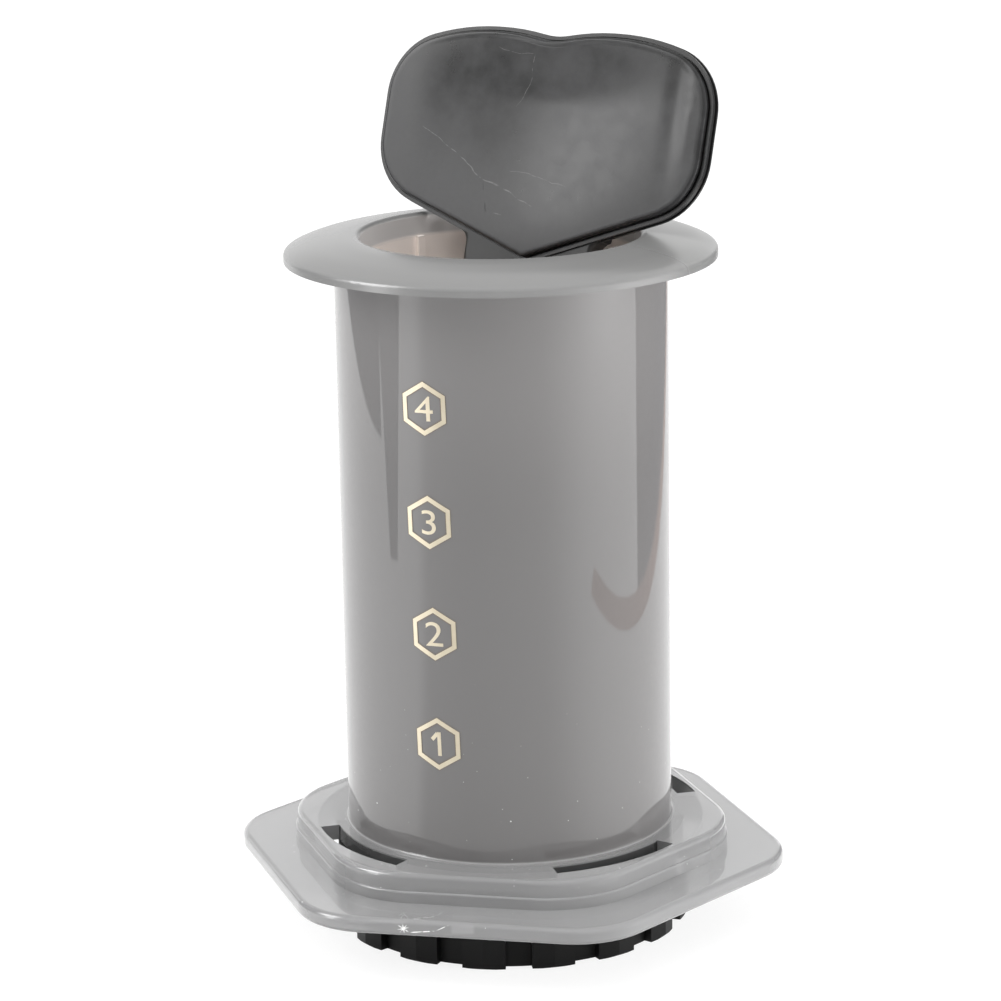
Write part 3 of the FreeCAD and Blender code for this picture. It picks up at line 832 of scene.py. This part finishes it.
def hollow_depth(x, y):
    """How deep the hollow is at a place of the face, in millimetres."""
    if abs(x) >= HOLLOW_W:
        return 0.0
    wall = WALL_LEFT if x < 0 else WALL_RIGHT
    across = WALL_DROP * ease((HOLLOW_W - abs(x)) / wall)
    across += FLOOR_SAG * hump(x, FLOOR_W) + CHANNEL * hump(x - CHANNEL_AT, CHANNEL_W)
    edge = V_TIP + V_START + math.tan(V_ANGLE) * (math.hypot(x, V_ROUND) - V_ROUND)
    return across * ease((y - edge) / RISE) * ease((CREST - y) / FALL)


def sink_rings(bm, face, centre, level, share):
    """Extrude the flat face inwards ring by ring and let each vertex sink to the hollow's depth."""
    size = 1.0
    for k in range(1, RINGS):
        face = bmesh.ops.extrude_discrete_faces(bm, faces=[face])["faces"][0]
        left = 1 - k / RINGS
        bmesh.ops.scale(bm, vec=(left / size, left / size, 1), verts=face.verts[:],
                        space=Matrix.Translation(-centre))
        size = left
        for v in face.verts:
            v.co.z = level - share * hollow_depth(v.co.x, v.co.y)


print("Hollow", round(hollow_depth(0, (LOBE_TOP + V_TIP) / 2), 2), "mm deep in the middle")

# %% [markdown]
# ## The bowl
# The filled outline is extruded to a slab and its front edge is rounded with a bevel. Front and back are
# then sunk, the back a little less than the front. At the end the flat bowl is scaled from millimetres to
# metres and stood up by the scoop's matrix.

# %% Bowl
BOWL_T = 1.8
EDGE_ROUND = 0.6
EDGE_STEPS = 5
BACK_SHARE = 0.78
MANY_CORNERS = 50
BOWL_CENTRE = Vector((0, (LOBE_TOP + V_TIP) / 2, 0))


def make_bowl():
    bm = bmesh.new()
    face = heart_outline(bm, BOWL_OUT)
    face.normal_update()
    if face.normal.z > 0:
        bmesh.ops.reverse_faces(bm, faces=[face])
    slab = bmesh.ops.extrude_face_region(bm, geom=[face], use_keep_orig=True)
    top = [part for part in slab["geom"] if isinstance(part, bmesh.types.BMFace)][0]
    bmesh.ops.translate(bm, vec=(0, 0, BOWL_T), verts=top.verts[:])
    bmesh.ops.translate(bm, vec=(0, 0, -BOWL_T), verts=bm.verts[:])
    bmesh.ops.recalc_face_normals(bm, faces=bm.faces[:])
    bmesh.ops.bevel(bm, geom=top.edges[:], offset=EDGE_ROUND, offset_type="OFFSET", affect="EDGES",
                    segments=EDGE_STEPS, profile=0.5, material=-1, clamp_overlap=False)
    flat = [f for f in bm.faces if len(f.verts) > MANY_CORNERS]
    top = max(flat, key=lambda f: f.calc_center_median().z)
    under = min(flat, key=lambda f: f.calc_center_median().z)
    sink_rings(bm, top, BOWL_CENTRE, 0.0, 1.0)
    sink_rings(bm, under, BOWL_CENTRE, -BOWL_T, BACK_SHARE)
    bmesh.ops.remove_doubles(bm, verts=bm.verts[:], dist=1e-4)
    bmesh.ops.recalc_face_normals(bm, faces=bm.faces[:])
    bmesh.ops.scale(bm, vec=(MM, MM, MM), verts=bm.verts[:])
    bmesh.ops.transform(bm, matrix=scoop_stand, verts=bm.verts[:])
    print("Bowl: open edges", len([e for e in bm.edges if not e.is_manifold]))
    mesh = bpy.data.meshes.new("bowl")
    bm.to_mesh(mesh)
    bm.free()
    for polygon in mesh.polygons:
        polygon.use_smooth = True
    piece = bpy.data.objects.new("bowl", mesh)
    scene.collection.objects.link(piece)
    return piece


bowl = make_bowl()
dress(bowl, scoop_finish("scoop_face", FACE_TONES, True))
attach(bowl, "scoop")
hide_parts("scoop_bowl")
print("Bowl:", len(bowl.data.polygons), "faces")

# %% [markdown]
# ## The gold print
# Four hexagons with a number in each are printed up the tube in pale gold, with a thin brown line round
# each hexagon. A mark is drawn flat and tilted a little, cut into narrow strips so that it can bend,
# wrapped round the tube and given a hair of thickness.

# %% Print finishes and wrapping
MARK_LEAN = math.radians(1.8)
STRIP = 0.5
GOLD_DARK = (0.80, 0.70, 0.52)
GOLD_PALE = (0.93, 0.85, 0.68)
BROWN_DARK = (0.10, 0.08, 0.06)
BROWN_PALE = (0.16, 0.13, 0.10)


def gold_finish():
    material, tree, shader = new_finish("pale_gold_print")
    wear = noise(tree, object_place(tree), 520, 4, 0.6)
    plug(tree, shader.inputs["Base Color"], mix_colour(tree, wear, GOLD_DARK, GOLD_PALE))
    plug(tree, shader.inputs["Roughness"], smooth_step(tree, wear, 0.3, 0.7, 0.3, 0.42))
    shader.inputs["Metallic"].default_value = 0.9
    return material


def edge_finish():
    material, tree, shader = new_finish("brown_print_edge")
    tone = noise(tree, object_place(tree), 300, 2)
    plug(tree, shader.inputs["Base Color"], mix_colour(tree, tone, BROWN_DARK, BROWN_PALE))
    shader.inputs["Roughness"].default_value = 0.5
    return material


def wrap_on_tube(bm, azimuth, height, lift):
    """Cut a flat mark into strips and bend it round the tube: X runs round, Y up."""
    low = min(v.co.x for v in bm.verts)
    high = max(v.co.x for v in bm.verts)
    for k in range(1, int((high - low) / STRIP) + 1):
        geom = bm.verts[:] + bm.edges[:] + bm.faces[:]
        bmesh.ops.bisect_plane(bm, geom=geom, plane_co=(low + k * STRIP, 0, 0), plane_no=(1, 0, 0))
    radius = TUBE_R / MM
    for v in bm.verts:
        angle = math.radians(azimuth) + v.co.x / radius
        out = radius + lift
        v.co = Vector((out * math.cos(angle), out * math.sin(angle), height + v.co.y))


def finish_mark(bm, name, azimuth, height, finish, lift):
    bmesh.ops.remove_doubles(bm, verts=bm.verts[:], dist=1e-4)
    bmesh.ops.rotate(bm, cent=(0, 0, 0), matrix=Matrix.Rotation(MARK_LEAN, 3, "Z"), verts=bm.verts[:])
    wrap_on_tube(bm, azimuth, height, lift)
    bmesh.ops.recalc_face_normals(bm, faces=bm.faces[:])
    first = bm.faces[:][0]
    if first.normal.dot(first.calc_center_median() * Vector((1, 1, 0))) < 0:
        bmesh.ops.reverse_faces(bm, faces=bm.faces[:])
    bmesh.ops.solidify(bm, geom=bm.faces[:], thickness=lift)
    bmesh.ops.scale(bm, vec=(MM, MM, MM), verts=bm.verts[:])
    mesh = bpy.data.meshes.new(name)
    bm.to_mesh(mesh)
    bm.free()
    piece = bpy.data.objects.new(name, mesh)
    scene.collection.objects.link(piece)
    dress(piece, finish)
    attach(piece, "chamber")


gold_print = gold_finish()
print_edge = edge_finish()
print("Print finishes:", gold_print.name, print_edge.name)

# %% [markdown]
# ## Hexagons and numbers
# A hexagon is a six-sided circle with its inside taken out. The 2, 3 and 4 are a plain font, made a mesh,
# scaled to the printed height and widened a little. The printed 1 has no foot, so it is drawn as two
# strokes, an upright and the short flag at its top. Each mark's height and place round the tube come from
# the photograph.

# %% Number marks
MARKS = ((1, 43.65, -114.9), (2, 65.3, -115.5), (3, 86.95, -116.65), (4, 108.7, -117.6))
MARK_R = 5.15
MARK_LINE = 0.86
EDGE_LINE = 0.16
DIGIT_H = 4.7
DIGIT_WIDEN = 1.22
STROKE_W = 0.75
UPRIGHT = ((0.3, 0), DIGIT_H, 90)
FLAG = ((-0.62, 1.45), 1.75, 48)
PRINT_LIFT = 0.04


def hexagon_ring(name, azimuth, height, wider, finish, lift):
    bm = bmesh.new()
    bmesh.ops.create_circle(bm, cap_ends=True, segments=6, radius=MARK_R + wider)
    face = bm.faces[:][0]
    bmesh.ops.inset_region(bm, faces=[face], thickness=MARK_LINE + 2 * wider, use_even_offset=True,
                           use_boundary=True)
    bmesh.ops.delete(bm, geom=[face], context="FACES")
    finish_mark(bm, name, azimuth, height, finish, lift)


def bar(bm, centre, length, angle):
    """A straight stroke of a digit."""
    turned = Matrix.Rotation(math.radians(angle), 3, "Z")
    corners = bmesh.ops.create_grid(bm, x_segments=1, y_segments=1, size=0.5)["verts"]
    bmesh.ops.scale(bm, vec=(length, STROKE_W, 1), verts=corners)
    bmesh.ops.rotate(bm, cent=(0, 0, 0), matrix=turned, verts=corners)
    bmesh.ops.translate(bm, vec=(*centre, 0), verts=corners)


def drawn_one(bm):
    bar(bm, *UPRIGHT)
    bar(bm, *FLAG)


def written_digit(bm, number):
    curve = bpy.data.curves.new("digit", "FONT")
    curve.body = str(number)
    curve.size = 1.0
    writing = bpy.data.objects.new("digit", curve)
    scene.collection.objects.link(writing)
    graph = bpy.context.evaluated_depsgraph_get()
    flat = bpy.data.meshes.new_from_object(writing.evaluated_get(graph))
    bpy.data.objects.remove(writing)
    bm.from_mesh(flat)
    bpy.data.meshes.remove(flat)
    xs = [v.co.x for v in bm.verts]
    ys = [v.co.y for v in bm.verts]
    size = DIGIT_H / (max(ys) - min(ys))
    to_middle = (-(max(xs) + min(xs)) / 2, -(max(ys) + min(ys)) / 2, 0)
    bmesh.ops.translate(bm, vec=to_middle, verts=bm.verts[:])
    bmesh.ops.scale(bm, vec=(size * DIGIT_WIDEN, size, 1), verts=bm.verts[:])


for number, height, azimuth in MARKS:
    hexagon_ring("hexagon_edge_%d" % number, azimuth, height, EDGE_LINE, print_edge, PRINT_LIFT / 2)
    hexagon_ring("hexagon_%d" % number, azimuth, height, 0.0, gold_print, PRINT_LIFT)
    digit = bmesh.new()
    if number == 1:
        drawn_one(digit)
    else:
        written_digit(digit, number)
    finish_mark(digit, "number_%d" % number, azimuth, height, gold_print, PRINT_LIFT)
print("Marks:", len(MARKS))

# %% [markdown]
# ## Finish
# The view transform is the plain one, so that colours come out as they were written.

# %% Finish
scene.view_settings.view_transform = "Standard"
